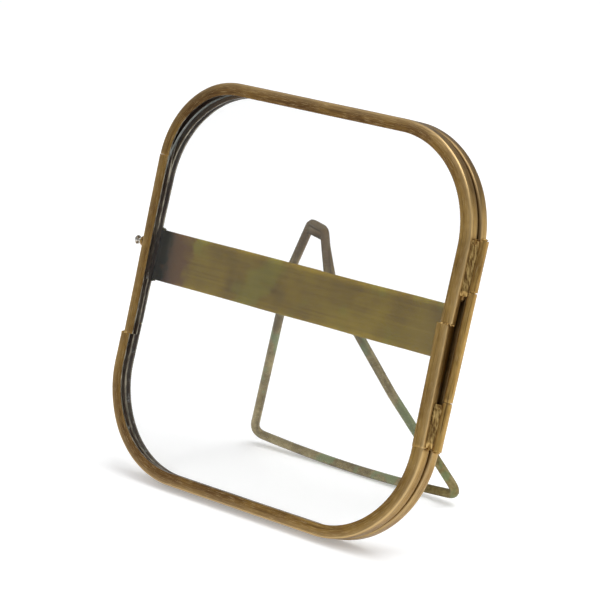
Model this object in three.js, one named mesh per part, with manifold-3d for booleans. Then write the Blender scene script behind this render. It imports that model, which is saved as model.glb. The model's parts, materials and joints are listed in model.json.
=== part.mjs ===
// A leaning photo stand of folded brass: two hinged rims, each round its own pane of glass,
// with a flat band across the back and a bent wire stand. Millimetres, +Z up, front towards -Y.
import * as THREE from 'three';
import { mergeVertices } from 'three/addons/utils/BufferGeometryUtils.js';
import Module from 'manifold-3d';

// ---- driving dimensions ----
const rimWidth = 150;            // back half, outside
const rimHeight = 146.8;
const cornerRadius = 38.8;
const sheet = 0.6;               // brass sheet of the channels
const foldRadius = 0.8;          // outside radius of a fold
const backDepth = 4.0;           // back channel, front to back
const frontDepth = 4.3;
const backFlange = 3.2;          // lip seen from behind
const frontFlange = 4.6;         // lip seen from the front
const innerFlange = 4.0;         // the two lips that face each other
const frontNarrower = 1.2;       // the front half is narrower, and leaves room for the hinge
const frontShift = 0.1;          // and sits this far towards the latch
const fit = 0.3;                 // gap between soldered or closed pieces
const lean = 18.6;               // degrees from upright

const glass = 2.0;

// Heights along the rim count from its middle, or from where its straight sides end.
const latchSideAbove = 7.9;      // the straight piece on the latch side, above and below
const latchSideShort = 9.8;
const latchSideInset = 0.55;     // its middle lies this far inside the outline
const latchSideTilt = 1.28;      // degrees, top outwards
const hingeSideReach = 9.3;      // top of the straight piece on the hinge side
const hingeSideTilt = 1.5;       // degrees, top inwards
const hingeSideProud = 0.35;     // stands in front of the rim it meets
const hingeSideFlange = 4.5;
const backJointDrop = 20.4;      // joint between the two pieces of the back rim

const knuckleRadius = 1.65;
const knuckleWall = 0.6;
const pinRadius = 1.0;
const pinHead = 0.5;
const knuckleGap = 0.35;
const hingeAbove = 4.3;          // the hinge runs past the straight side at the top
const hingeShort = 1.0;          // and stops short of it at the bottom
const upperKnuckle = 18.0;
const lowerKnuckle = 17.0;
const slotDrop = 3.5;            // the notch in the front wall lies below the middle knuckle
const slotDepth = 1.8;           // how much of the wall is cut away
const leafHeight = 2.1;
const leafTail = 3.2;            // slanted end of the upper leaf

const latchReach = 9.6;          // above the rim's middle
const shankRadius = 0.8;
const screwClearance = 0.2;
const headRadius = 1.65;
const headThickness = 0.5;
const headTaper = 0.6;
const neck = 2.35;               // shank between the boss and the head
const bossRadius = 2.0;
const bossHeight = 1.1;
const tongueWidth = 4.4;
const tongueTip = 1.2;           // how far it reaches past the screw

const bandHeight = 18.7;
const bandThickness = 0.7;
const bandReach = 5.9;           // its centre line, above the rim's middle
const bandShort = 1.2;           // its ends stop this far inside the rim

const wireRadius = 1.65;
const axisReach = 5.9;           // fold axis of the stand, above the band's centre line
const legBack = 16.5;            // degrees between the legs and upright
const axisLeft = 9.0;            // wires where they cross the fold axis
const axisRight = 10.0;
const tabHeight = 18.8;
const tabLeft = 4.0;             // corners of the tab's top
const tabRight = 2.6;
const tabSlope = 1.3;            // its right corner is lower
const tabBend = 1.8;
const footLeft = 48.6;           // corners of the legs' bottom bar
const footRight = 51.2;
const footBow = 2.6;             // the bar bows down in the middle
const bowShare = 0.78;           // share of the bar that bends
const footBend = 5.5;
const jointReach = 0.53;         // the brazed joint, as a share of the right leg
const jointKink = 2.3;
const crossRadius = 0.9;
const crossClearance = 0.2;
const clipWall = 0.5;
const clipPlate = 7.0;
const clipEndGap = 1.6;          // between the clip's ends and the wires

const roundSides = 20;
const wireSteps = 140;

const wasm = await Module();
wasm.setup();

// ---- derived places: x across, y front to back from the rim's back face, z up the rim ----
const radians = THREE.MathUtils.degToRad;
const rimMiddle = rimHeight / 2;
const straightTop = rimHeight - cornerRadius;
const straightBottom = cornerRadius;
const frontBack = -backDepth - fit;                      // back face of the front half
const frontFace = frontBack - frontDepth;
const frontHalfWidth = (rimWidth - frontNarrower) / 2;
const frontLeft = -frontHalfWidth - frontShift;
const frontRight = frontHalfWidth - frontShift;
const pinX = rimWidth / 2 + fit + knuckleRadius;
const pinY = frontBack + fit / 2;
const latchSideTop = straightTop + latchSideAbove;
const latchSideBottom = straightBottom + latchSideShort;
const latchSideMiddle = (latchSideTop + latchSideBottom) / 2;
const latchHeight = rimMiddle + latchReach;
const hingeSideTop = rimMiddle + hingeSideReach;
const hingeTop = straightTop + hingeAbove;
const hingeBottom = straightBottom + hingeShort;
const middleKnuckleTop = hingeTop - upperKnuckle;
const middleKnuckleBottom = hingeBottom + lowerKnuckle;
const slotTop = middleKnuckleTop - slotDrop;
const slotBottom = middleKnuckleBottom - slotDrop;
const backJoint = rimMiddle - backJointDrop;
const latchWall = frontLeft + latchSideInset
  + Math.tan(radians(latchSideTilt)) * (latchSideMiddle - latchHeight);
const latchY = frontBack - frontDepth / 2;
const backGlassInset = sheet + 2 * fit;                  // leaves room for the tongue
const frontGlassInset = latchSideInset + sheet + 3 * fit; // and here for the screw's tip
const bandCentre = rimMiddle + bandReach;
const axisHeight = bandCentre + axisReach;
const bandBack = fit + bandThickness;
const axisY = bandBack + fit + wireRadius;

// ---- small builders ----
const brass = () => new THREE.MeshStandardMaterial({ color: 0x8a6a35, roughness: 0.42, metalness: 1 });
const oliveBrass = () => new THREE.MeshStandardMaterial({ color: 0x6d5c22, roughness: 0.5, metalness: 1 });
const greenWire = () => new THREE.MeshStandardMaterial({ color: 0x77714f, roughness: 0.55, metalness: 1 });
const nickel = () => new THREE.MeshStandardMaterial({ color: 0xb9b6b0, roughness: 0.3, metalness: 1 });
const clearGlass = () => new THREE.MeshStandardMaterial({
  color: 0xeef4f1, roughness: 0.05, metalness: 0, transparent: true, opacity: 0.3,
});

function toSolid(geometry) {
  const bare = geometry.clone();
  bare.deleteAttribute('normal');
  bare.deleteAttribute('uv');
  const merged = mergeVertices(bare, 1e-5);
  return new wasm.Manifold(new wasm.Mesh({
    numProp: 3,
    vertProperties: new Float32Array(merged.attributes.position.array),
    triVerts: new Uint32Array(merged.index.array),
  }));
}

function toGeometry(solid) {
  const mesh = solid.getMesh();
  const geometry = new THREE.BufferGeometry();
  geometry.setAttribute('position', new THREE.BufferAttribute(new Float32Array(mesh.vertProperties), 3));
  geometry.setIndex(new THREE.BufferAttribute(new Uint32Array(mesh.triVerts), 1));
  geometry.computeVertexNormals();
  return geometry;
}

function piece(name, shape, material) {
  const mesh = new THREE.Mesh(shape.isBufferGeometry ? shape : toGeometry(shape), material);
  mesh.name = name;
  return mesh;
}

function block(x0, x1, y0, y1, z0, z1) {
  const geometry = new THREE.BoxGeometry(x1 - x0, y1 - y0, z1 - z0);
  geometry.translate((x0 + x1) / 2, (y0 + y1) / 2, (z0 + z1) / 2);
  return toSolid(geometry);
}

function roundedRectangle(halfWidth, halfHeight, radius) {
  const shape = new THREE.Shape();
  const x = halfWidth - radius;
  const y = halfHeight - radius;
  shape.absarc(x, y, radius, 0, Math.PI / 2);
  shape.absarc(-x, y, radius, Math.PI / 2, Math.PI);
  shape.absarc(-x, -y, radius, Math.PI, Math.PI * 1.5);
  shape.absarc(x, -y, radius, Math.PI * 1.5, Math.PI * 2);
  return shape;
}

// An outline in the rim's plane, made thick from its back face forwards.
function layer(shape, backFace, depth, bevel = 0) {
  const geometry = new THREE.ExtrudeGeometry(shape, {
    depth: depth - 2 * bevel, curveSegments: 7, bevelEnabled: bevel > 0,
    bevelThickness: bevel, bevelSize: bevel, bevelOffset: -bevel, bevelSegments: 2,
  });
  geometry.translate(0, 0, bevel);
  geometry.rotateX(Math.PI / 2);
  geometry.translate(0, backFace, rimHeight / 2);
  return toSolid(geometry);
}

// A closed ring of channel: outside wall and two lips that point inwards.
function channelRing(halfWidth, backFace, depth, backLip, frontLip) {
  const inset = (by) => roundedRectangle(halfWidth - by, rimHeight / 2 - by, cornerRadius - by);
  const groove = layer(inset(sheet), backFace - sheet, depth - 2 * sheet);
  const backOpening = layer(inset(backLip), backFace + sheet, depth / 2 + sheet);
  const frontOpening = layer(inset(frontLip), backFace - depth / 2 + sheet, depth / 2 + 2 * sheet);
  return layer(inset(0), backFace, depth, foldRadius)
    .subtract(groove).subtract(backOpening).subtract(frontOpening);
}

// A straight length of the same channel, wall at x = 0, lips towards +x, back face at y = 0.
function straightChannel(depth, backLip, frontLip, length) {
  const shape = new THREE.Shape();
  shape.moveTo(backLip, 0);
  shape.lineTo(foldRadius, 0);
  shape.absarc(foldRadius, -foldRadius, foldRadius, Math.PI / 2, Math.PI);
  shape.absarc(foldRadius, -depth + foldRadius, foldRadius, Math.PI, Math.PI * 1.5);
  shape.lineTo(frontLip, -depth);
  shape.lineTo(frontLip, -depth + sheet);
  shape.lineTo(sheet, -depth + sheet);
  shape.lineTo(sheet, -sheet);
  shape.lineTo(backLip, -sheet);
  const settings = { depth: length, curveSegments: 3, bevelEnabled: false };
  const geometry = new THREE.ExtrudeGeometry(shape, settings);
  geometry.translate(0, 0, -length / 2);
  return geometry;
}

function tube(outer, inner, length) {
  const half = length / 2;
  const profile = [[inner, -half], [outer, -half], [outer, half], [inner, half], [inner, -half]];
  return turned(profile);
}

function turned(profile) {
  return new THREE.LatheGeometry(profile.map(([r, h]) => new THREE.Vector2(r, h)), roundSides);
}

function rod(radius, length) {
  return new THREE.CylinderGeometry(radius, radius, length, roundSides);
}

// ---- back half ----
function backRims() {
  const ring = channelRing(rimWidth / 2, 0, backDepth, backFlange, innerFlange);
  const slot = tongueSlot();
  const upper = ring
    .subtract(block(-rimWidth, rimWidth, -rimWidth, rimWidth, -rimHeight, backJoint + fit / 2))
    .subtract(slot);
  const lower = ring
    .subtract(block(-rimWidth, rimWidth, -rimWidth, rimWidth, backJoint - fit / 2, 2 * rimHeight));
  return [piece('back_rim_upper', upper, brass()), piece('back_rim_lower', lower, brass())];
}

function pane(name, halfWidth, inset, middleY, shift) {
  const by = sheet + inset;
  const outline = roundedRectangle(halfWidth - by, rimHeight / 2 - by, cornerRadius - by);
  const solid = layer(outline, middleY + glass / 2, glass);
  const mesh = piece(name, solid, clearGlass());
  mesh.position.x = shift;
  return mesh;
}

function backBand() {
  const geometry = new THREE.BoxGeometry(rimWidth - 2 * bandShort, bandThickness, bandHeight);
  const mesh = piece('back_band', geometry, oliveBrass());
  mesh.position.set(0, fit + bandThickness / 2, bandCentre);
  return mesh;
}

// The clip is a strip rolled round the stand's cross wire, with a flat foot on the band.
function standClip() {
  const left = -axisLeft + wireRadius + clipEndGap;
  const right = axisRight - wireRadius - clipEndGap;
  const hole = rod(crossRadius + crossClearance, right - left + 2 * fit).rotateZ(Math.PI / 2);
  const roll = rod(crossRadius + crossClearance + clipWall, right - left).rotateZ(Math.PI / 2);
  const middle = (left + right) / 2;
  const footFront = bandBack + fit - axisY;
  const half = (right - left) / 2;
  const foot = block(-half, half, footFront, footFront + clipWall, -clipPlate / 2, clipPlate / 2);
  const mesh = piece('stand_clip', toSolid(roll).add(foot).subtract(toSolid(hole)), brass());
  mesh.position.set(middle, axisY, axisHeight);
  return mesh;
}

// The tongue reaches forwards from the back half, and the screw's shank sits in its open slot.
function latchTongue() {
  const backOuter = -rimWidth / 2 + sheet + fit;
  const frontOuter = latchWall + sheet + fit;
  const step = -(backDepth + glass) / 2 - fit;
  const foot = -sheet - fit;
  const tip = latchY - tongueTip;
  const shape = new THREE.Shape();
  shape.moveTo(backOuter, foot);
  shape.lineTo(backOuter, step - sheet);
  shape.lineTo(frontOuter, step - sheet);
  shape.lineTo(frontOuter, tip);
  shape.lineTo(frontOuter + sheet, tip);
  shape.lineTo(frontOuter + sheet, step);
  shape.lineTo(backOuter + sheet, step);
  shape.lineTo(backOuter + sheet, foot);
  const strip = new THREE.ExtrudeGeometry(shape, { depth: tongueWidth, bevelEnabled: false });
  strip.translate(0, 0, latchHeight - tongueWidth / 2);
  const reach = shankRadius + screwClearance;
  const slot = block(frontOuter - sheet, frontOuter + 2 * sheet, tip - sheet, latchY + reach,
    latchHeight - reach, latchHeight + reach);
  return piece('latch_tongue', toSolid(strip).subtract(slot), brass());
}

// Room for the tongue in the two lips that face each other.
function tongueSlot() {
  const half = tongueWidth / 2 + fit;
  const right = latchWall + 3 * sheet + fit;
  return block(-rimWidth / 2 + sheet, right, frontBack - 2 * sheet, -backDepth + 2 * sheet,
    latchHeight - half, latchHeight + half);
}

// ---- front half ----
function frontRims() {
  const ring = channelRing(frontHalfWidth, frontBack, frontDepth, innerFlange, frontFlange)
    .translate(-frontShift, 0, 0);
  const all = [-rimWidth, rimWidth];
  const cut = (x0, x1, z0, z1) => block(x0, x1, ...all, z0, z1);
  const upper = ring
    .subtract(cut(-rimWidth, 0, -rimHeight, latchSideTop))
    .subtract(cut(0, rimWidth, -rimHeight, hingeSideTop))
    .subtract(hingeSlot());
  const lower = ring
    .subtract(cut(-rimWidth, 0, latchSideBottom, 2 * rimHeight))
    .subtract(cut(0, rimWidth, hingeBottom - fit, 2 * rimHeight));
  return [piece('front_rim_upper', upper, brass()), piece('front_rim_lower', lower, brass())];
}

// The notch beside the middle knuckle, cut from the front wall's back edge.
function hingeSlot() {
  return block(frontRight - 2 * sheet, pinX, frontBack - slotDepth, frontBack + fit / 2,
    slotBottom, slotTop);
}

function placed(geometry, x, y, z, tilt = 0, flip = false) {
  if (flip) geometry.rotateZ(Math.PI);
  geometry.rotateY(radians(tilt));
  geometry.translate(x, y, z);
  return toSolid(geometry);
}

function frontLatchSide() {
  const length = latchSideTop - latchSideBottom - 2 * fit;
  const channel = straightChannel(frontDepth, innerFlange, frontFlange, length);
  const hole = rod(shankRadius + screwClearance, 6 * sheet).rotateZ(Math.PI / 2);
  hole.translate(latchWall, latchY, latchHeight);
  const solid = placed(channel, frontLeft + latchSideInset, frontBack, latchSideMiddle, -latchSideTilt)
    .subtract(toSolid(hole)).subtract(tongueSlot());
  return piece('front_rim_latch_side', solid, brass());
}

// Made with its lips swapped, because the half turn that faces it left also turns it back to front.
function frontHingeSide() {
  const length = hingeSideTop - hingeBottom - 2 * fit;
  const depth = frontDepth + hingeSideProud;
  const channel = straightChannel(depth, hingeSideFlange, innerFlange, length);
  const solid = placed(channel, frontRight - hingeSideInset(length), frontBack - depth,
    (hingeSideTop + hingeBottom) / 2, -hingeSideTilt, true)
    .subtract(hingeSlot());
  return piece('front_rim_hinge_side', solid, brass());
}

// The foot of the hinge side lines up with the rim below it, so its middle lies a little inside.
function hingeSideInset(length) {
  return Math.sin(radians(hingeSideTilt)) * length / 2;
}

// ---- hinge ----
function knuckle(name, bottom, top) {
  const geometry = tube(knuckleRadius, knuckleRadius - knuckleWall, top - bottom).rotateX(Math.PI / 2);
  const mesh = piece(name, geometry, brass());
  mesh.position.set(pinX, pinY, (top + bottom) / 2);
  return mesh;
}

function hingePin() {
  const top = hingeTop + fit;
  const bottom = hingeBottom - fit;
  const head = (pinRadius + knuckleRadius) / 2;
  const crown = head - pinHead / 2;
  const profile = [
    [0, bottom - pinHead], [crown, bottom - pinHead], [head, bottom - pinHead / 2], [head, bottom],
    [pinRadius, bottom], [pinRadius, top],
    [head, top], [head, top + pinHead / 2], [crown, top + pinHead], [0, top + pinHead],
  ];
  const mesh = piece('hinge_pin', turned(profile).rotateX(Math.PI / 2), brass());
  mesh.position.set(pinX, pinY, 0);
  return mesh;
}

// A strip between the front wall and its knuckles. The tail runs down beside the slot on a slant.
function hingeLeaf(name, bottom, top, tail) {
  const inner = frontRight + fit;
  const outer = pinX - knuckleRadius - fit;
  const shape = new THREE.Shape();
  shape.moveTo(frontBack, top);
  shape.lineTo(frontBack - leafHeight, top);
  shape.lineTo(frontBack - leafHeight, bottom - tail);
  shape.lineTo(frontBack - leafHeight / 2, bottom - tail);
  shape.lineTo(frontBack, bottom);
  const geometry = new THREE.ExtrudeGeometry(shape, { depth: outer - inner, bevelEnabled: false });
  geometry.rotateX(Math.PI / 2).rotateZ(Math.PI / 2);
  geometry.translate(inner, 0, 0);
  return piece(name, geometry, brass());
}

// ---- latch ----
function latchBoss() {
  const geometry = tube(bossRadius, shankRadius + screwClearance, bossHeight).rotateZ(Math.PI / 2);
  const mesh = piece('latch_boss', geometry, brass());
  mesh.position.set(latchWall - fit - bossHeight / 2, latchY, latchHeight);
  return mesh;
}

function latchScrew() {
  const tip = latchWall + 2 * sheet + 2 * fit;
  const underHead = latchWall - fit - bossHeight - neck;
  const profile = [
    [0, -tip], [shankRadius, -tip], [shankRadius, -underHead - headTaper],
    [headRadius, -underHead], [headRadius, -underHead + headThickness], [0, -underHead + headThickness],
  ];
  const mesh = piece('latch_screw', turned(profile).rotateZ(Math.PI / 2), nickel());
  mesh.position.set(0, latchY, latchHeight);
  return mesh;
}

// ---- stand ----
// Places on the stand: the tab lies along the rim, and the legs swing back from the fold axis.
function onTab(x, up) {
  return new THREE.Vector3(x, axisY, axisHeight + up);
}

function onLegs(x, down) {
  const angle = radians(lean + legBack);
  return new THREE.Vector3(x, axisY + down * Math.sin(angle), axisHeight - down * Math.cos(angle));
}

// The bar's lowest point meets the ground on which the rim's rounded back edge stands.
function legLength() {
  const sine = Math.sin(radians(lean));
  const cosine = Math.cos(radians(lean));
  const rimAboveEdge = foldRadius * (sine + cosine - 1);
  const axisAboveGround = axisHeight * cosine - axisY * sine - rimAboveEdge;
  return (axisAboveGround - wireRadius) / Math.cos(radians(legBack));
}

// One path through the corners, each rounded over the given length to either side.
function bentPath(corners) {
  const path = new THREE.CurvePath();
  let from = corners[0].at;
  corners.slice(1, -1).forEach(({ at, bend }, i) => {
    const next = corners[i + 2].at;
    const before = at.clone().lerp(from, bend / at.distanceTo(from));
    const after = at.clone().lerp(next, bend / at.distanceTo(next));
    path.add(new THREE.LineCurve3(from, before));
    path.add(new THREE.QuadraticBezierCurve3(before, at, after));
    from = after;
  });
  path.add(new THREE.LineCurve3(from, corners.at(-1).at));
  return path;
}

function standWire() {
  const length = legLength();
  const bar = length - footBow;
  const barHalf = (footLeft + footRight) / 2;
  const barMiddle = onLegs((footRight - footLeft) / 2, bar + footBow * 2 / (2 - bowShare));
  const joint = onLegs(axisRight + (footRight - axisRight) * jointReach - jointKink, bar * jointReach);
  const rightFoot = onLegs(footRight, bar);
  const towardsFoot = rightFoot.clone().sub(joint).setLength(fit);
  const corners = [
    { at: joint },
    { at: onTab(axisRight, 0), bend: tabBend },
    { at: onTab(tabRight, tabHeight - tabSlope), bend: tabBend },
    { at: onTab(-tabLeft, tabHeight), bend: tabBend },
    { at: onTab(-axisLeft, 0), bend: tabBend },
    { at: onLegs(-footLeft, bar), bend: footBend },
    { at: barMiddle, bend: barHalf * bowShare },
    { at: rightFoot, bend: footBend },
    { at: joint.clone().add(towardsFoot) },
  ];
  const section = new THREE.Shape().absarc(0, 0, wireRadius, 0, Math.PI * 2);
  const settings = { steps: wireSteps, curveSegments: 5, extrudePath: bentPath(corners) };
  return piece('stand_wire', new THREE.ExtrudeGeometry(section, settings), greenWire());
}

function standCrossWire() {
  const left = -axisLeft + wireRadius + 2 * fit;
  const right = axisRight - wireRadius - 2 * fit;
  const mesh = piece('stand_cross_wire', rod(crossRadius, right - left).rotateZ(Math.PI / 2), greenWire());
  mesh.position.set((left + right) / 2, axisY, axisHeight);
  return mesh;
}

// ---- the whole object, leaning back on its stand ----
const leaning = new THREE.Group();
leaning.rotation.x = -radians(lean);
leaning.add(
  ...backRims(),
  pane('back_glass', rimWidth / 2, backGlassInset, -backDepth / 2, 0),
  backBand(),
  standClip(),
  latchTongue(),
  knuckle('hinge_knuckle_middle', middleKnuckleBottom, middleKnuckleTop),
  hingePin(),
  ...frontRims(),
  frontLatchSide(),
  frontHingeSide(),
  pane('front_glass', frontHalfWidth, frontGlassInset, frontBack - frontDepth / 2, -frontShift),
  knuckle('hinge_knuckle_upper', middleKnuckleTop + knuckleGap, hingeTop),
  knuckle('hinge_knuckle_lower', hingeBottom, middleKnuckleBottom - knuckleGap),
  hingeLeaf('hinge_leaf_upper', middleKnuckleTop + knuckleGap, hingeTop, leafTail),
  hingeLeaf('hinge_leaf_lower', hingeBottom, slotBottom - fit, 0),
  latchBoss(),
  latchScrew(),
  standWire(),
  standCrossWire(),
);

// The origin is on the ground, under the middle of the object's box.
const whole = new THREE.Group();
whole.add(leaning);
whole.updateMatrixWorld(true);
const box = new THREE.Box3().setFromObject(whole, true);
const centre = box.getCenter(new THREE.Vector3());
leaning.position.set(-centre.x, -centre.y, -box.min.z);

export default whole;
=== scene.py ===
import json
import math

import bmesh
import bpy
from mathutils import Matrix, Vector, noise


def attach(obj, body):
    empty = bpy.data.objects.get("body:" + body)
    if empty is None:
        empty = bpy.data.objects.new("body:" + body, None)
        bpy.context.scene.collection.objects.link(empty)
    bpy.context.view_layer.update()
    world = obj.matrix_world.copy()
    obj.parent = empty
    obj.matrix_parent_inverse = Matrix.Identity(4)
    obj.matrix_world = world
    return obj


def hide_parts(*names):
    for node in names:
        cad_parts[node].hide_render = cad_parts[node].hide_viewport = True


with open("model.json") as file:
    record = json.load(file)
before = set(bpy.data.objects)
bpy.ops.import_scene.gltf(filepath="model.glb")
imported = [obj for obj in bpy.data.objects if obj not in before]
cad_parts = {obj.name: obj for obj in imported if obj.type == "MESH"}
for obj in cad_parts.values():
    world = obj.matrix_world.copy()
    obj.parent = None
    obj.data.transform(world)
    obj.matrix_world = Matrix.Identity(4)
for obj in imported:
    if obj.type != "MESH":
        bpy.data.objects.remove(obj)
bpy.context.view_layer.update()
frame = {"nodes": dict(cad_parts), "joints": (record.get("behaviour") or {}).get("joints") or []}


# ---- The lean ----
# Both rims lean back together on the wire stand. Every piece is made flat, in millimetres: x across,
# y up the rim from its bottom edge, z forwards from its back face. It is then stood up into the lean.
MM = 0.001
hinge_joint = next(joint for joint in frame["joints"] if joint["name"] == "cover_hinge")
stand_joint = next(joint for joint in frame["joints"] if joint["name"] == "stand_fold")
across = Vector((1, 0, 0))
up = Vector(hinge_joint["axis"])
forward = across.cross(up)
lean = math.acos(up.z)


def reach(node, direction):
    """The lowest and highest place of a CAD node along a direction, in metres."""
    places = [vertex.co.dot(direction) for vertex in frame["nodes"][node].data.vertices]
    return min(places), max(places)


rim_foot = (
    across * sum(reach("back_rim_upper", across)) / 2
    + up * reach("back_rim_lower", up)[0]
    + forward * reach("back_rim_lower", forward)[0]
)
leaning = Matrix.Translation(rim_foot) @ Matrix((across, up, forward)).transposed().to_4x4()
leaning = leaning @ Matrix.Scale(MM, 4)


def middle_of(box):
    return (box[0] + box[1]) / 2


def flat_box(node):
    """The corners of a CAD node's box before the lean, in millimetres."""
    flat = leaning.inverted()
    places = [flat @ vertex.co for vertex in frame["nodes"][node].data.vertices]
    lowest = Vector(min(place[axis] for place in places) for axis in range(3))
    highest = Vector(max(place[axis] for place in places) for axis in range(3))
    return lowest, highest


# ---- Camera ----
# It looks down on the stand from the front and right, at the height of a person's eyes at a table.
camera_azimuth = math.radians(42.92)
camera_elevation = math.radians(17.16)
camera_distance = 0.9991
camera_aim = rim_foot + Vector((0.02166, 0, 0.08094))
towards_camera = Vector((
    math.sin(camera_azimuth) * math.cos(camera_elevation),
    -math.cos(camera_azimuth) * math.cos(camera_elevation),
    math.sin(camera_elevation),
))
camera = bpy.data.objects.new("camera", bpy.data.cameras.new("camera"))
camera.data.lens = 175.5
camera.data.sensor_width = 36
camera.data.shift_x = 0.0028
camera.data.shift_y = 0.0085
camera.location = camera_aim + towards_camera * camera_distance
camera.rotation_euler = (-towards_camera).to_track_quat("-Z", "Y").to_euler()
bpy.context.scene.collection.objects.link(camera)
bpy.context.scene.camera = camera
bpy.context.scene.view_settings.view_transform = "Standard"


# ---- Table and studio ----
# A white table top that runs out of sight, in a room that is dimmest a little above the table and
# brightest overhead. One large soft lamp hangs above, with a weak one at the front left and one
# low behind at the right.
def add(tree, kind, sockets=None, **settings):
    """Adds a node. Each socket takes a value or another node's output."""
    made = tree.nodes.new(kind)
    for name, value in settings.items():
        setattr(made, name, value)
    for key, value in (sockets or {}).items():
        if isinstance(value, bpy.types.NodeSocket):
            tree.links.new(value, made.inputs[key])
        else:
            made.inputs[key].default_value = value
    return made


def ramp(tree, factor, stops):
    """A colour for each stretch of a 0 to 1 value. Stops are (place, colour)."""
    made = add(tree, "ShaderNodeValToRGB", {"Fac": factor})
    elements = made.color_ramp.elements
    while len(elements) < len(stops):
        elements.new(0.5)
    for element, (place, colour) in zip(elements, stops):
        element.position = place
        element.color = (*colour, 1)
    return made.outputs["Color"]


def grey(value):
    return (value, value, value)


def spread(tree, value, low, high, start=0.0, end=1.0, **settings):
    """Stretches the part of a value from low to high, to run from start to end."""
    sockets = {"Value": value, "From Min": low, "From Max": high, "To Min": start, "To Max": end}
    return add(tree, "ShaderNodeMapRange", sockets, **settings).outputs["Result"]


def new_material(name):
    material = bpy.data.materials.new(name)
    material.use_nodes = True
    return material, material.node_tree, material.node_tree.nodes["Principled BSDF"]


def table_top():
    material, _, shader = new_material("white_table")
    shader.inputs["Base Color"].default_value = (0.93, 0.93, 0.935, 1)
    shader.inputs["Roughness"].default_value = 0.75
    shader.inputs["Emission Color"].default_value = (0.955, 0.98, 1, 1)
    shader.inputs["Emission Strength"].default_value = 0.285
    half = 6
    corners = [(-half, -half, 0), (half, -half, 0), (half, half, 0), (-half, half, 0)]
    mesh = bpy.data.meshes.new("table")
    mesh.from_pydata(corners, [], [(0, 1, 2, 3)])
    mesh.materials.append(material)
    table = bpy.data.objects.new("table", mesh)
    bpy.context.scene.collection.objects.link(table)


def room():
    world = bpy.data.worlds.new("room")
    bpy.context.scene.world = world
    world.use_nodes = True
    tree = world.node_tree
    direction = add(tree, "ShaderNodeTexCoord").outputs["Generated"]
    height = add(tree, "ShaderNodeSeparateXYZ", {"Vector": direction}).outputs["Z"]
    light = ramp(tree, spread(tree, height, -0.2, 1.0), [
        (0.0, grey(0.5)), (0.22, grey(0.4)), (0.42, grey(0.28)), (0.62, grey(0.4)), (1.0, grey(0.95)),
    ])
    tree.links.new(light, tree.nodes["Background"].inputs["Color"])


def lamp(name, place, target, size, power):
    data = bpy.data.lights.new(name, "AREA")
    data.shape = "DISK"
    data.size = size
    data.energy = power
    made = bpy.data.objects.new(name, data)
    made.location = place
    made.rotation_euler = (Vector(target) - Vector(place)).to_track_quat("-Z", "Y").to_euler()
    bpy.context.scene.collection.objects.link(made)


table_top()
room()
lamp("overhead", (0.35, 0.25, 1.3), (0, 0, 0.03), 1.1, 9)
lamp("front_left", (-0.8, -1.1, 1.15), (0, 0, 0.07), 0.6, 2.5)
lamp("behind_right", (1.1, 0.7, 0.35), (0, 0, 0.07), 0.5, 1.6)


# ---- Back rim ----
# Thin brass sheet folded to a channel with two lips, and bent round into the back half's rim.
# It is two lengths, soldered end to end at both sides. The pane sits in the channel.
sheet = 0.6
fold = 0.8
corner_share = 0.5173
corner = flat_box("back_rim_upper")[1].x * corner_share


def place_of(tree):
    return add(tree, "ShaderNodeTexCoord").outputs["Object"]


def axes_of(tree, place):
    return add(tree, "ShaderNodeSeparateXYZ", {"Vector": place}).outputs


def noise_at(tree, vector, scale, detail=3.0, roughness=0.55):
    sockets = {"Vector": vector, "Scale": scale, "Detail": detail, "Roughness": roughness}
    return add(tree, "ShaderNodeTexNoise", sockets).outputs["Fac"]


def calculated(tree, operation, first, second=0.0):
    return add(tree, "ShaderNodeMath", {0: first, 1: second}, operation=operation).outputs[0]


def sum_of(tree, start, *parts):
    """Start plus each part, which is a value and its share."""
    for value, share in parts:
        sockets = {0: value, 1: share, 2: start}
        start = add(tree, "ShaderNodeMath", sockets, operation="MULTIPLY_ADD").outputs[0]
    return start


def mixed(tree, factor, first, second, share=1.0):
    """Two colours mixed by a factor times a share. Each is a colour or an output."""
    if share < 1:
        factor = calculated(tree, "MULTIPLY", factor, share)
    first, second = (c if isinstance(c, bpy.types.NodeSocket) else (*c, 1) for c in (first, second))
    return add(tree, "ShaderNodeMix", {0: factor, 6: first, 7: second}, data_type="RGBA").outputs[2]


def worn(tree, value, low, high):
    """Where a value passes from low to high, with soft ends."""
    return spread(tree, value, low, high, interpolation_type="SMOOTHSTEP")


def varied(tree, shader, socket, value, low, high):
    """Lets a 0 to 1 value set one of a shader's sockets, from low to high."""
    tree.links.new(spread(tree, value, 0.0, 1.0, low, high), shader.inputs[socket])


def streaks(tree, length, width, detail=2.0):
    """Marks drawn out along the metal: length and width in millimetres."""
    along = add(tree, "ShaderNodeAttribute", attribute_name="along").outputs["Fac"]
    sideways = add(tree, "ShaderNodeAttribute", attribute_name="across").outputs["Fac"]
    drawn_out = add(tree, "ShaderNodeCombineXYZ", {
        "X": calculated(tree, "DIVIDE", along, length),
        "Y": calculated(tree, "DIVIDE", sideways, width),
    }).outputs[0]
    return noise_at(tree, drawn_out, 1.0, detail)


def metal(name, roughness):
    material, tree, shader = new_material(name)
    shader.inputs["Metallic"].default_value = 1.0
    shader.inputs["Roughness"].default_value = roughness
    return material, tree, shader


def surfaced(tree, shader, colour, height, depth):
    """Gives a shader its colour, and a bump whose depth is in metres."""
    tree.links.new(colour, shader.inputs["Base Color"])
    bump = add(tree, "ShaderNodeBump", {"Height": height, "Distance": depth, "Strength": 1.0})
    tree.links.new(bump.outputs["Normal"], shader.inputs["Normal"])


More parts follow.
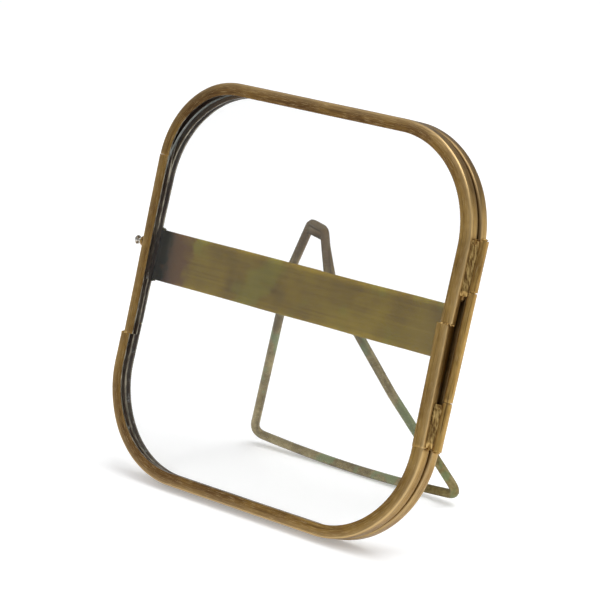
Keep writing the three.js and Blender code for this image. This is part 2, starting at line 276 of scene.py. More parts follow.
def painted_wall_shade_mask(tree, place, height, share):
    """Painted shade on the outer walls of both rims, not their faces: more near the parting line, less at the
    foot.
    """
    parting = rim_foot.dot(forward) + (flat_box("front_rim_upper")[0].z - 0.15) * MM
    dot = add(tree, "ShaderNodeVectorMath", {0: place, 1: forward}, operation="DOT_PRODUCT")
    depth = calculated(tree, "SUBTRACT", dot.outputs["Value"], parting)
    off = calculated(tree, "ABSOLUTE", depth)
    walls = spread(tree, off, 4.0 * MM, 3.2 * MM)
    near_line = spread(tree, off, 1.6 * MM, 0.2 * MM)
    mask = sum_of(tree, 0.0, (walls, share), (near_line, 0.5))
    return calculated(tree, "MULTIPLY", mask, spread(tree, height, 0.02, 0.06, 0.3))


def antique_brass(name, painted_wall_shade=0.0):
    """Brown aged brass, lighter at mid-height, with a painted reflection that lightens it towards the right
    and a painted highlight along the folds, partly wear. Painted shade darkens the outer walls, not the faces.
    """
    material, tree, shader = metal(name, 0.4)
    place = place_of(tree)
    axes = axes_of(tree, place)
    rim_half, middle_height = 0.08, 0.072
    # Painted reflection: the brass is made lighter towards the right.
    wear_and_side_light = spread(tree, axes["X"], -rim_half, rim_half)
    # Lighter at mid-height, darker towards the top and bottom.
    from_middle = calculated(tree, "ABSOLUTE", calculated(tree, "SUBTRACT", axes["Z"], middle_height))
    lighter_mid_height = spread(tree, from_middle, 0.062, 0.03)
    cloud = noise_at(tree, place, 45.0)
    spots = noise_at(tree, place, 420.0)
    drawn = streaks(tree, 14.0, 0.55)
    scratches = streaks(tree, 5.0, 0.11, 1.0)
    tone = sum_of(tree, 0.04, (cloud, 0.4), (spots, 0.12), (drawn, 0.28), (wear_and_side_light, 0.1), (lighter_mid_height, 0.11))
    colour = ramp(tree, tone, [
        (0.30, (0.09, 0.046, 0.018)),
        (0.44, (0.178, 0.096, 0.034)),
        (0.56, (0.31, 0.181, 0.052)),
        (0.70, (0.49, 0.31, 0.096)),
    ])
    colour = mixed(tree, worn(tree, scratches, 0.58, 0.72), colour, (0.58, 0.41, 0.2))
    grooves = worn(tree, streaks(tree, 22.0, 0.4, 1.0), 0.42, 0.3)
    colour = mixed(tree, grooves, colour, (0.1, 0.058, 0.022), 0.65)
    # Lighter along the folds: partly wear, partly a painted highlight on the bends.
    bend = add(tree, "ShaderNodeAttribute", attribute_name="bend").outputs["Fac"]
    colour = mixed(tree, bend, colour, (0.72, 0.53, 0.27), 0.6)
    # Painted shade: the rims' outer walls are darkened, most along the parting line between the halves, less
    # at the foot.
    if painted_wall_shade:
        wall_shade = painted_wall_shade_mask(tree, place, axes["Z"], painted_wall_shade)
        colour = mixed(tree, wall_shade, colour, (0.09, 0.054, 0.025))
    varied(tree, shader, "Roughness", spots, 0.3, 0.5)
    surfaced(tree, shader, colour, sum_of(tree, scratches, (drawn, 1.5)), 0.00005)
    return material


def channel_inside():
    """The inside of a channel: dark brown, partly unpolished metal and partly painted shade of the channel's
    hollow, with pale smears of old cement.
    """
    material, tree, shader = metal("channel_inside", 0.5)
    place = place_of(tree)
    cloud = noise_at(tree, place, 90.0)
    colour = ramp(tree, cloud, [
        (0.35, (0.085, 0.052, 0.037)),
        (0.52, (0.15, 0.11, 0.082)),
        (0.7, (0.24, 0.2, 0.155)),
    ])
    smears = worn(tree, noise_at(tree, place, 160.0, 5.0, 0.7), 0.58, 0.7)
    colour = mixed(tree, smears, colour, (0.42, 0.42, 0.4))
    varied(tree, shader, "Metallic", smears, 0.45, 0.0)
    surfaced(tree, shader, colour, noise_at(tree, place, 900.0), 0.00006)
    return material


def cut_edge():
    """The cut edge of the sheet: dull at the left, and bright at the right, which is a painted highlight on
    the lip lines.
    """
    material, tree, shader = metal("cut_edge", 0.34)
    place = place_of(tree)
    # Painted highlight: the edge is made brighter towards the right.
    wear_and_side_light = spread(tree, axes_of(tree, place)["X"], 0.0, 0.06)
    cloud = noise_at(tree, place, 260.0)
    dull = ramp(tree, cloud, [(0.35, (0.07, 0.058, 0.04)), (0.65, (0.3, 0.27, 0.2))])
    bright = ramp(tree, cloud, [(0.35, (0.35, 0.23, 0.11)), (0.6, (0.75, 0.58, 0.34))])
    colour = mixed(tree, wear_and_side_light, dull, bright)
    surfaced(tree, shader, colour, cloud, 0.00004)
    return material


# 0.14 is the share of painted shade on the rims' outer walls.
brass = antique_brass("antique_brass", 0.14)
inside = channel_inside()
edge = cut_edge()


def new_tree(name, numbers, result):
    """A Geometry Nodes tree whose inputs are a path, named numbers and a finish."""
    tree = bpy.data.node_groups.new(name, "GeometryNodeTree")
    sockets = tree.interface
    sockets.new_socket("Path", in_out="INPUT", socket_type="NodeSocketGeometry")
    for number in numbers:
        sockets.new_socket(number, in_out="INPUT", socket_type="NodeSocketFloat")
    sockets.new_socket("Finish", in_out="INPUT", socket_type="NodeSocketMaterial")
    sockets.new_socket(result, in_out="OUTPUT", socket_type="NodeSocketGeometry")
    return tree, add(tree, "NodeGroupInput").outputs


def delivered(tree, swept, finish, result):
    """Ends a tree with a plain mesh in its finish."""
    swept = add(tree, "GeometryNodeRealizeInstances", {"Geometry": swept}).outputs[0]
    swept = add(tree, "GeometryNodeSetMaterial", {"Geometry": swept, "Material": finish}).outputs[0]
    add(tree, "NodeGroupOutput", {result: swept})


def fillet(tree, curve, radius, count):
    sockets = {"Curve": curve, "Radius": radius, "Limit Radius": True}
    made = add(tree, "GeometryNodeFilletCurve", sockets, mode="POLY")
    made.inputs["Count"].default_value = count
    return made.outputs[0]


def named(tree, geometry, name, value):
    """Keeps a value under a name, for a material to read."""
    sockets = {"Geometry": geometry, "Name": name, "Value": value}
    return add(tree, "GeometryNodeStoreNamedAttribute", sockets, data_type="FLOAT", domain="POINT").outputs[0]


def length_kept(tree, curve, name):
    """Keeps the length along a curve under a name."""
    return named(tree, curve, name, add(tree, "GeometryNodeSplineParameter").outputs["Length"])


def resampled(tree, curve, step):
    sockets = {"Curve": curve, "Length": step}
    return add(tree, "GeometryNodeResampleCurve", sockets, mode="LENGTH").outputs[0]


def point_at(tree, x, y):
    return add(tree, "ShaderNodeCombineXYZ", {"X": x, "Y": y}).outputs[0]


def channel_tree():
    """Sweeps a folded channel along a path. Its lips point inwards, and its wall is on the right."""
    tree, given = new_tree("folded_channel", (
        "Depth", "Back lip", "Front lip", "Sheet", "Fold", "Corner", "Wobble", "Seed"), "Channel")
    half_sheet = calculated(tree, "MULTIPLY", given["Sheet"], 0.5)
    outer = calculated(tree, "MULTIPLY", half_sheet, -1)
    front = calculated(tree, "SUBTRACT", half_sheet, given["Depth"])
    back_tip = calculated(tree, "MULTIPLY", given["Back lip"], -1)
    front_tip = calculated(tree, "MULTIPLY", given["Front lip"], -1)
    corners = [(back_tip, outer), (outer, outer), (outer, front), (front_tip, front)]
    section = add(tree, "GeometryNodeMeshLine", {"Count": len(corners)}).outputs["Mesh"]
    index = add(tree, "GeometryNodeInputIndex").outputs["Index"]
    places = add(tree, "GeometryNodeIndexSwitch", {"Index": index}, data_type="VECTOR")
    while len(places.index_switch_items) < len(corners):
        places.index_switch_items.new()
    for slot, (x, y) in enumerate(corners):
        tree.links.new(point_at(tree, x, y), places.inputs[slot + 1])
    section = add(tree, "GeometryNodeSetPosition", {"Geometry": section, "Position": places.outputs[0]})
    section = add(tree, "GeometryNodeMeshToCurve", {"Mesh": section.outputs[0]}).outputs[0]
    fold_steps, corner_steps, path_step, wave_scale = 5, 40, 1.3, 0.045
    section = fillet(tree, section, calculated(tree, "SUBTRACT", given["Fold"], half_sheet), fold_steps)
    section = add(tree, "GeometryNodeSubdivideCurve", {"Curve": section, "Cuts": 1}).outputs[0]
    here = add(tree, "GeometryNodeInputPosition").outputs[0]
    from_folds = []
    for x, y in corners[1:3]:
        apart = add(tree, "ShaderNodeVectorMath", {0: here, 1: point_at(tree, x, y)}, operation="DISTANCE")
        from_folds.append(apart.outputs["Value"])
    nearest = calculated(tree, "DIVIDE", calculated(tree, "MINIMUM", *from_folds), given["Fold"])
    # Marks the folds, which the brass finish lightens: partly wear, partly painted highlight.
    section = named(tree, section, "bend", spread(tree, nearest, 0.25, 0.9, 1.0, 0.0))
    section = length_kept(tree, section, "across")

    path = add(tree, "GeometryNodeMeshToCurve", {"Mesh": given["Path"]}).outputs[0]
    path = resampled(tree, fillet(tree, path, given["Corner"], corner_steps), path_step)
    path = length_kept(tree, path, "along")
    path = add(tree, "GeometryNodeSetCurveNormal", {"Curve": path}, mode="Z_UP").outputs[0]
    swept = add(tree, "GeometryNodeCurveToMesh", {"Curve": path, "Profile Curve": section}).outputs[0]
    swept = add(tree, "GeometryNodeFlipFaces", {"Mesh": swept}).outputs[0]

    wave = {"Vector": here, "W": given["Seed"], "Scale": wave_scale, "Detail": 2.0}
    wave = add(tree, "ShaderNodeTexNoise", wave, noise_dimensions="4D").outputs["Color"]
    wave = add(tree, "ShaderNodeVectorMath", {0: wave, 1: grey(0.5)}, operation="SUBTRACT").outputs[0]
    wave = add(tree, "ShaderNodeVectorMath", {0: wave, "Scale": given["Wobble"]}, operation="SCALE").outputs[0]
    swept = add(tree, "GeometryNodeSetPosition", {"Geometry": swept, "Offset": wave}).outputs[0]
    delivered(tree, swept, given["Finish"], "Channel")
    return tree


def object_of(name, points, edges, faces=()):
    mesh = bpy.data.meshes.new(name)
    mesh.from_pydata([tuple(point) for point in points], edges, list(faces))
    made = bpy.data.objects.new(name, mesh)
    bpy.context.scene.collection.objects.link(made)
    return made


def path_object(name, points):
    return object_of(name, points, [(i, i + 1) for i in range(len(points) - 1)])


def grown(source, tree, **inputs):
    """Runs a Geometry Nodes tree on an object and keeps the plain mesh that it makes."""
    modifier = source.modifiers.new("grown", "NODES")
    modifier.node_group = tree
    for item in tree.interface.items_tree:
        if item.item_type == "SOCKET" and item.in_out == "INPUT" and item.name in inputs:
            modifier[item.identifier] = inputs[item.name]
    return flattened(source)


def flattened(source):
    """Replaces an object by its finished mesh, without modifiers."""
    bpy.context.view_layer.update()
    evaluated = source.evaluated_get(bpy.context.evaluated_depsgraph_get())
    mesh = bpy.data.meshes.new_from_object(evaluated)
    name = source.name
    bpy.data.objects.remove(source)
    mesh.name = name
    made = bpy.data.objects.new(name, mesh)
    bpy.context.scene.collection.objects.link(made)
    return made


def cut(piece, lowest, highest):
    """Cuts a block out of a piece."""
    corners = [(x, y, z) for x in (lowest[0], highest[0]) for y in (lowest[1], highest[1])
               for z in (lowest[2], highest[2])]
    faces = [(0, 1, 3, 2), (4, 6, 7, 5), (0, 4, 5, 1), (2, 3, 7, 6), (0, 2, 6, 4), (1, 5, 7, 3)]
    block = object_of("block", corners, [], faces)
    block.hide_render = True
    modifier = piece.modifiers.new("cut", "BOOLEAN")
    modifier.object = block
    modifier.solver = "EXACT"
    made = flattened(piece)
    bpy.data.objects.remove(block)
    return made


def finished(piece, name, body, nodes=(), smooth_below=32):
    """Stands a piece up into the lean, names it, and lets it ride on its body."""
    piece.data.transform(leaning)
    piece.name = name
    piece.data.name = name
    piece.data.polygons.foreach_set("use_smooth", [True] * len(piece.data.polygons))
    piece.data.set_sharp_from_angle(angle=math.radians(smooth_below))
    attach(piece, body)
    if nodes:
        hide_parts(*nodes)


def solid_sheet(piece, thickness):
    """Gives a surface the thickness of its sheet, half to each side."""
    wall = piece.modifiers.new("sheet", "SOLIDIFY")
    wall.thickness = thickness
    wall.offset = 0
    wall.use_even_offset = True
    return wall


def rubbed_edges(piece, width):
    """Rounds a piece's sharp edges, as wear does, and flattens it."""
    soft = piece.modifiers.new("wear_and_side_light", "BEVEL")
    soft.width = width
    soft.segments = 2
    soft.limit_method = "ANGLE"
    soft.angle_limit = math.radians(50)
    return flattened(piece)


channels = channel_tree()
wobble = 0.28
edge_wear = 0.09


def folded(name, node, body, path, back, depth, back_lip, front_lip, seed, corner_radius=0.0, cuts=()):
    """One length of channel along a path, with its back face at z = back."""
    source = path_object(name, [Vector((x, y, 0)) for x, y in path])
    piece = grown(source, channels, **{
        "Depth": depth, "Back lip": back_lip, "Front lip": front_lip, "Sheet": sheet, "Fold": fold,
        "Corner": corner_radius, "Wobble": wobble, "Seed": seed, "Finish": brass,
    })
    piece.data.transform(Matrix.Translation((0, 0, back)))
    piece.data.materials.clear()
    materials = (brass, inside, edge)
    for material in materials:
        piece.data.materials.append(material)
    wall = solid_sheet(piece, sheet)
    # The inner shell gets the dark inside finish, partly painted shade.
    wall.material_offset = materials.index(inside)
    wall.material_offset_rim = materials.index(edge)
    piece = flattened(piece)
    for lowest, highest in cuts:
        piece = cut(piece, lowest, highest)
    finished(rubbed_edges(piece, edge_wear), name, body, [node])


def arch(node, mirrored=False):
    """The corners of a rim's outline, from one open end round the closed one to the other."""
    lowest, highest = flat_box(node)
    if mirrored:
        return [(lowest.x, highest.y), (lowest.x, lowest.y), (highest.x, lowest.y), (highest.x, highest.y)]
    return [(highest.x, lowest.y), (highest.x, highest.y), (lowest.x, highest.y), (lowest.x, lowest.y)]


back_lip = 3.8
inner_lip = 4.0
seam = 0.12
back_depth = flat_box("back_rim_upper")[1].z
tongue = flat_box("latch_tongue")
tongue_room = (
    (tongue[0].x - seam, tongue[0].y - 2 * seam, back_depth - 2 * sheet),
    (tongue[1].x + 2 * sheet, tongue[1].y + 2 * seam, back_depth + 3 * sheet),
)
folded("back_upper_rim", "back_rim_upper", "back_half", arch("back_rim_upper"),
       0, back_depth, back_lip, inner_lip, 1, corner, [tongue_room])
folded("back_lower_rim", "back_rim_lower", "back_half", arch("back_rim_lower", True),
       0, back_depth, back_lip, inner_lip, 2, corner)


# ---- Front rim ----
# The same folded sheet, in four lengths: two arches, and two straight pieces let in between them,
# one under the latch screw and one beside the hinge, where the middle knuckle needs a notch.
front_lip = 4.6
hinge_side_lip = 4.5
latch_tilt = math.radians(1.28)
hinge_tilt = math.radians(1.5)
notch_drop = 3.5
notch_depth = 1.8
front_box = flat_box("front_rim_upper")
front_low = flat_box("front_rim_lower")
front_back = front_box[0].z
front_depth = front_box[1].z - front_back
latch_side = flat_box("front_rim_latch_side")
hinge_side = flat_box("front_rim_hinge_side")
middle_knuckle = flat_box("hinge_knuckle_middle")
front_left, front_right = front_low[0].x, front_low[1].x
notch = (
    (front_right - 2 * sheet, middle_knuckle[0].y - notch_drop, front_back - sheet),
    (middle_knuckle[1].x, middle_knuckle[1].y - notch_drop, front_back + notch_depth),
)


def leant(run, tilt):
    return run * math.tan(tilt)


over = [(front_right, hinge_side[1].y + seam), (front_right, front_box[1].y),
        (front_left, front_box[1].y), (front_left, latch_side[1].y + seam)]
folded("front_upper_rim", "front_rim_upper", "front_half", over,
       front_back, front_depth, inner_lip, front_lip, 3, corner, [notch])

under = [(front_left, latch_side[0].y - seam), (front_left, front_low[0].y),
         (front_right, front_low[0].y), (front_right, hinge_side[0].y - seam)]
folded("front_lower_rim", "front_rim_lower", "front_half", under,
       front_back, front_depth, inner_lip, front_lip, 4, corner)

latch_run = latch_side[1].y - latch_side[0].y
beside_latch = [(latch_side[0].x, latch_side[1].y),
                (latch_side[0].x + leant(latch_run, latch_tilt), latch_side[0].y)]
folded("latch_side_rim", "front_rim_latch_side", "front_half", beside_latch,
       front_back, front_depth, inner_lip, front_lip, 5, cuts=[tongue_room])

hinge_run = hinge_side[1].y - hinge_side[0].y
beside_hinge = [(hinge_side[1].x, hinge_side[0].y),
                (hinge_side[1].x - leant(hinge_run, hinge_tilt), hinge_side[1].y)]
folded("hinge_side_rim", "front_rim_hinge_side", "front_half", beside_hinge,
       front_back, hinge_side[1].z - front_back, inner_lip, hinge_side_lip, 6, cuts=[notch])


# ---- Panes ----
# Two sheets of thin clear float glass with ground edges, one in each rim. The picture goes between.
ground = 0.25


def clear_glass():
    """Glass that lets the lamps' light through to what is behind it."""
    material, tree, shader = new_material("clear_glass")
    shader.inputs["Base Color"].default_value = (1.0, 1.0, 0.998, 1)
    shader.inputs["Roughness"].default_value = 0.0
    shader.inputs["IOR"].default_value = 1.45
    shader.inputs["Specular IOR Level"].default_value = 0.18
    shader.inputs["Transmission Weight"].default_value = 1.0
    for_lamps = add(tree, "ShaderNodeLightPath").outputs["Is Shadow Ray"]
    through = add(tree, "ShaderNodeBsdfTransparent", {"Color": (0.98, 0.98, 0.975, 1)})
    both = add(tree, "ShaderNodeMixShader", {0: for_lamps, 1: shader.outputs[0], 2: through.outputs[0]})
    tree.links.new(both.outputs[0], tree.nodes["Material Output"].inputs["Surface"])
    return material


def ground_edge():
    material, tree, shader = new_material("ground_glass_edge")
    shader.inputs["Roughness"].default_value = 0.35
    chips = noise_at(tree, place_of(tree), 700.0)
    colour = ramp(tree, chips, [(0.35, (0.21, 0.225, 0.2)), (0.65, (0.36, 0.375, 0.34))])
    surfaced(tree, shader, colour, chips, 0.00008)
    return material


glass_materials = [clear_glass(), ground_edge()]


def rounded_outline(half_width, half_height, radius, steps=24):
    points = []
    for turn, (x, y) in enumerate([(1, 1), (-1, 1), (-1, -1), (1, -1)]):
        centre = Vector((x * (half_width - radius), y * (half_height - radius)))
        for step in range(steps + 1):
            angle = (turn + step / steps) * math.pi / 2
            points.append(centre + Vector((math.cos(angle), math.sin(angle))) * radius)
    return points


def ring_faces(rings, count, first=0):
    """The faces between closed rings of points. Each ring follows the one before."""
    faces = []
    for ring in range(rings):
        for i in range(count):
            here, after = (first + ring * count + side % count for side in (i, i + 1))
            faces.append((here, after, after + count, here + count))
    return faces


def pane(name, node, body):
    lowest, highest = flat_box(node)
    half = (highest - lowest) / 2
    middle = middle_of((lowest, highest))
    radius = corner - (flat_box("back_rim_upper")[1].x - half.x)
    levels = [(lowest.z, ground), (lowest.z + ground, 0), (highest.z - ground, 0), (highest.z, ground)]
    rings = []
    for z, inset in levels:
        outline = rounded_outline(half.x - inset, half.y - inset, radius - inset)
        rings.append([Vector((p.x + middle.x, p.y + middle.y, z)) for p in outline])
    count = len(rings[0])
    points = [point for ring in rings for point in ring]
    faces = [tuple(reversed(range(count)))] + ring_faces(len(levels) - 1, count)
    faces.append(tuple(range(len(points) - count, len(points))))
    piece = object_of(name, points, [], faces)
    for material in glass_materials:
        piece.data.materials.append(material)
    for face in piece.data.polygons:
        face.material_index = 0 if len(face.vertices) > 4 else 1
    finished(piece, name, body, [node])


pane("back_pane", "back_glass", "back_half")
pane("front_pane", "front_glass", "front_half")


# ---- Band ----
# A flat strip of the same sheet across the back, soldered to the rim at both ends. It holds the stand.
# It was never rubbed down after soldering, so heat and flux have left it olive and stained.
def olive_band():
    material, tree, shader = metal("olive_band", 0.42)
    place = place_of(tree)
    x = axes_of(tree, place)["X"]
    cloud = noise_at(tree, place, 38.0, 4.0)
    patches = noise_at(tree, place, 95.0, 4.0)
    drawn_out = add(tree, "ShaderNodeMapping", {"Vector": place, "Scale": (0.02, 1.0, 1.0)}).outputs[0]
    lines = noise_at(tree, drawn_out, 1100.0, 3.0)
    tone = sum_of(tree, 0.0, (cloud, 0.55), (patches, 0.25), (lines, 0.2))
    colour = ramp(tree, tone, [
        (0.34, (0.165, 0.1, 0.01)),
        (0.47, (0.265, 0.172, 0.012)),
        (0.56, (0.34, 0.235, 0.016)),
        (0.68, (0.44, 0.305, 0.036)),
    ])
    green = worn(tree, noise_at(tree, place, 60.0, 2.0), 0.52, 0.62)
    colour = mixed(tree, green, colour, (0.29, 0.28, 0.032), 0.5)
    ragged = sum_of(tree, x, (noise_at(tree, place, 240.0, 4.0), 0.014))
    purple, burnt, brown = (0.17, 0.075, 0.028), (0.078, 0.07, 0.022), (0.17, 0.108, 0.045)
    colour = mixed(tree, spread(tree, ragged, -0.046, -0.0525), colour, purple, 0.85)
    colour = mixed(tree, spread(tree, ragged, -0.058, -0.061), colour, burnt)
    colour = mixed(tree, spread(tree, x, 0.045, 0.07), colour, brown, 0.5)
    varied(tree, shader, "Roughness", patches, 0.32, 0.6)
    surfaced(tree, shader, colour, lines, 0.00003)
    return material


def grid_faces(columns, rows):
    wide = columns + 1
    return [(r * wide + c, r * wide + c + 1, (r + 1) * wide + c + 1, (r + 1) * wide + c)
            for r in range(rows) for c in range(columns)]


def wavy_sheet(name, lowest, highest, columns, rows, wave):
    """A sheet across x and y, with edges and face a little wavy, before it gets its thickness."""
    points = []
    for row in range(rows + 1):
        for column in range(columns + 1):
            x = lowest.x + (highest.x - lowest.x) * column / columns
            y = lowest.y + (highest.y - lowest.y) * row / rows
            side = noise.noise(Vector((x / 25, row * 3.7, 0))) * wave if row in (0, rows) else 0
            bow = noise.noise(Vector((x / 40, y / 30, 5))) * wave
            points.append((x, y + side, (lowest.z + highest.z) / 2 + bow))
    return object_of(name, points, [], grid_faces(columns, rows))


def thickened(piece, thickness, wear_and_side_light):
    solid_sheet(piece, thickness)
    return rubbed_edges(piece, wear_and_side_light)


band_box = flat_box("back_band")
band = wavy_sheet("band", *band_box, 90, 8, 0.12)
olive = olive_band()
band.data.materials.append(olive)
band = thickened(band, band_box[1].z - band_box[0].z, 0.1)
finished(band, "olive_back_band", "back_half", ["back_band"])


# ---- Hinge ----
# Three knuckles rolled from sheet round one pin. The middle one is soldered to the back rim, and
# the others, on their leaves, to the front rim. The pin's ends are hammered to small domes.
knuckle_wall = 0.6
seam_angle = math.radians(200)
seam_gap = math.radians(5)


def grain(piece, along, sideways):
    """Writes the attributes that the brass finish reads, from each point's place."""
    for name, measure in (("along", along), ("across", sideways)):
        values = [measure(vertex.co) for vertex in piece.data.vertices]
        piece.data.attributes.new(name, "FLOAT", "POINT").data.foreach_set("value", values)


hinge_brass = antique_brass("hinge_brass")


def rolled_tube(name, node, body, seed):
    """A knuckle: sheet rolled round the pin until its edges nearly meet at the seam."""
    lowest, highest = flat_box(node)
    middle = middle_of((lowest, highest))
    radius = (highest.x - lowest.x) / 2 - knuckle_wall / 2
    turns, rings = 36, 22
    points = []
    for ring in range(rings + 1):
        y = lowest.y + (highest.y - lowest.y) * ring / rings
        for turn in range(turns + 1):
            angle = seam_angle + seam_gap + (2 * math.pi - 2 * seam_gap) * turn / turns
            spot = Vector((math.cos(angle), y / 4, math.sin(angle) + seed))
            dent = radius * (1 + 0.022 * noise.noise(spot * 1.3))
            points.append((middle.x + dent * math.cos(angle), y, middle.z + dent * math.sin(angle)))
    wide = turns + 1
    faces = [(r * wide + t, (r + 1) * wide + t, (r + 1) * wide + t + 1, r * wide + t + 1)
             for r in range(rings) for t in range(turns)]
    piece = object_of(name, points, [], faces)
    grain(piece, lambda co: co.y, lambda co: math.atan2(co.z - middle.z, co.x - middle.x) * radius)
    piece.data.materials.append(hinge_brass)
    piece = thickened(piece, knuckle_wall, 0.06)
    finished(piece, name, body, [node])


rolled_tube("upper_knuckle", "hinge_knuckle_upper", "front_half", 0)
rolled_tube("middle_knuckle", "hinge_knuckle_middle", "back_half", 10)
rolled_tube("lower_knuckle", "hinge_knuckle_lower", "front_half", 20)


def outwards(piece, merged=0.0):
    """Turns a closed mesh's faces outwards, once points that lie together are merged."""
    work = bmesh.new()
    work.from_mesh(piece.data)
    if merged:
        bmesh.ops.remove_doubles(work, verts=work.verts, dist=merged)
    bmesh.ops.recalc_face_normals(work, faces=work.faces)
    work.to_mesh(piece.data)
    work.free()


def turned(name, profile, centre, axis, sides=40):
    """A piece turned on a lathe about x or y. The profile is (radius, place along) from end to end."""
    points, faces = [], []
    for radius, along in profile:
        for side in range(sides):
            angle = 2 * math.pi * side / sides
            first, second = radius * math.cos(angle), radius * math.sin(angle)
            on_axis = (along, first, second) if axis == "x" else (second, along, first)
            points.append(Vector(on_axis))
    for level in range(len(profile) - 1):
        for side in range(sides):
            after = (side + 1) % sides
            faces.append((level * sides + side, (level + 1) * sides + side,
                          (level + 1) * sides + after, level * sides + after))
    piece = object_of(name, [point + Vector(centre) for point in points], [], faces)
    outwards(piece, 0.0005)
    return piece


def dome(radius, base, height, steps=6):
    """The profile of a hammered head, from its edge to its middle."""
    return [(radius * math.cos(t), base + height * math.sin(t))
            for t in (math.pi / 2 * step / steps for step in range(steps + 1))]


pin_box = flat_box("hinge_pin")
pin_radius = 1.0
pin_head = 0.5
head_radius = (pin_box[1].x - pin_box[0].x) / 2
pin_top, pin_bottom = pin_box[1].y - pin_head, pin_box[0].y + pin_head
pin_profile = list(reversed(dome(head_radius, pin_bottom, -pin_head)))
pin_profile += [(pin_radius, pin_bottom), (pin_radius, pin_top)]
pin_profile += dome(head_radius, pin_top, pin_head)
pin_middle = middle_of(pin_box)
pin = turned("pin", pin_profile, (pin_middle.x, 0, pin_middle.z), "y")
grain(pin, lambda co: co.y, lambda co: co.x + co.z)
pin.data.materials.append(hinge_brass)
finished(pin, "domed_hinge_pin", "back_half", ["hinge_pin"])


leaf_overlap = 0.2


def leaf(name, node, tail):
    """A strip between the front rim's wall and a knuckle. Its back corner is cut away on a slant."""
    low, high = flat_box(node)
    half_way = (low.z + high.z) / 2
    side = [(high.y, low.z), (high.y, high.z), (low.y, high.z), (low.y, half_way), (low.y + tail, low.z)]
    points = [Vector((x, y, z)) for x in (low.x - leaf_overlap, high.x + leaf_overlap) for y, z in side]
    count = len(side)
    faces = [tuple(range(count)), tuple(range(2 * count - 1, count - 1, -1))]
    faces += [(i, i + count, (i + 1) % count + count, (i + 1) % count) for i in range(count)]
    piece = object_of(name, points, [], faces)
    outwards(piece)
    grain(piece, lambda co: co.y, lambda co: co.z)
    soft = piece.modifiers.new("wear_and_side_light", "BEVEL")
    soft.width = 0.12
    soft.segments = 2
    piece.data.materials.append(hinge_brass)
    piece = flattened(piece)
    finished(piece, name, "front_half", [node])


leaf("upper_leaf", "hinge_leaf_upper", 3.2)
leaf("lower_leaf", "hinge_leaf_lower", 0.01)


# ---- Latch ----
# A nickel screw with a slotted head goes through a turned collar and the front rim's wall, and holds
# the tongue that reaches forwards from the back rim, so the two halves stay shut.
def nickel_plate():
    material, tree, shader = metal("nickel_plate", 0.28)
    cloud = noise_at(tree, place_of(tree), 900.0)
    colour = ramp(tree, cloud, [(0.35, (0.36, 0.33, 0.28)), (0.6, (0.62, 0.6, 0.56))])
    surfaced(tree, shader, colour, cloud, 0.00003)
    return material


screw_box = flat_box("latch_screw")
screw_middle = middle_of(screw_box)
shank = 0.8
screw_head = (screw_box[1].y - screw_box[0].y) / 2
head_front = screw_box[0].x
head_start = head_front + 0.5
thread_pitch, thread_depth = 0.4, 0.13
screw_profile = [
    (0, head_front), (screw_head - 0.35, head_front), (screw_head - 0.1, head_front + 0.08),
    (screw_head, head_front + 0.25), (screw_head, head_start - 0.06), (screw_head - 0.08, head_start),
    (shank + 0.25, head_start + 0.42), (shank, head_start + 0.6),
]
thread = head_start + 1.0
while thread < screw_box[1].x - thread_pitch:
    screw_profile += [(shank, thread), (shank - thread_depth, thread + thread_pitch / 2)]
    thread += thread_pitch
screw_profile += [(shank, thread), (shank - 0.2, screw_box[1].x), (0, screw_box[1].x)]
screw = turned("screw", screw_profile, (0, screw_middle.y, screw_middle.z), "x", 48)
screw.data.materials.append(nickel_plate())
slot_half, slot_deep = 0.22, 0.3
screw = cut(screw, (head_front - 1, screw_middle.y - slot_half, screw_box[0].z - 1),
            (head_front + slot_deep, screw_middle.y + slot_half, screw_box[1].z + 1))
finished(screw, "slotted_latch_screw", "latch_screw", ["latch_screw"])

boss_box = flat_box("latch_boss")
boss_middle = middle_of(boss_box)
boss_radius = (boss_box[1].y - boss_box[0].y) / 2
bore = shank + 0.2
boss_end = boss_box[1].x + 0.2
boss_face = boss_box[0].x
boss_profile = [
    (bore, boss_end), (boss_radius, boss_end), (boss_radius, boss_middle.x),
    (boss_radius - 0.12, boss_face + 0.25), (boss_radius - 0.5, boss_face),
    (bore + 0.1, boss_face), (bore, boss_face + 0.1), (bore, boss_end),
]
boss = turned("boss", boss_profile, (0, boss_middle.y, boss_middle.z), "x")
grain(boss, lambda co: co.x, lambda co: co.y)
boss.data.materials.append(hinge_brass)
finished(boss, "turned_latch_collar", "front_half", ["latch_boss"])

# The tongue gets the dark inside finish, partly painted shade where it sits in the gap between the halves.
frame["nodes"]["latch_tongue"].data.materials.clear()
frame["nodes"]["latch_tongue"].data.materials.append(inside)


# ---- Stand ----
# One length of brass wire, bent to a small tab above its fold axis and two long legs below it, and
# brazed shut part of the way down the right leg. A thinner wire across it is the fold axis.
axis_left, axis_right = 9.0, 10.0
leg_back = math.radians(16.5)
tab_height, tab_left, tab_right, tab_slope, tab_bend = 18.8, 4.0, 2.6, 1.3, 1.2
foot_left, foot_right, foot_bow, foot_bend, bow_share = 48.6, 51.2, 2.6, 5.5, 0.78
joint_share, joint_kink = 0.53, 2.3
wire_radius = 1.65
cross_box = flat_box("stand_cross_wire")
cross_middle = middle_of(cross_box)
cross_radius = (cross_box[1].y - cross_box[0].y) / 2
leg_length = (stand_joint["pos_m"][2] / MM - wire_radius) / math.cos(leg_back)


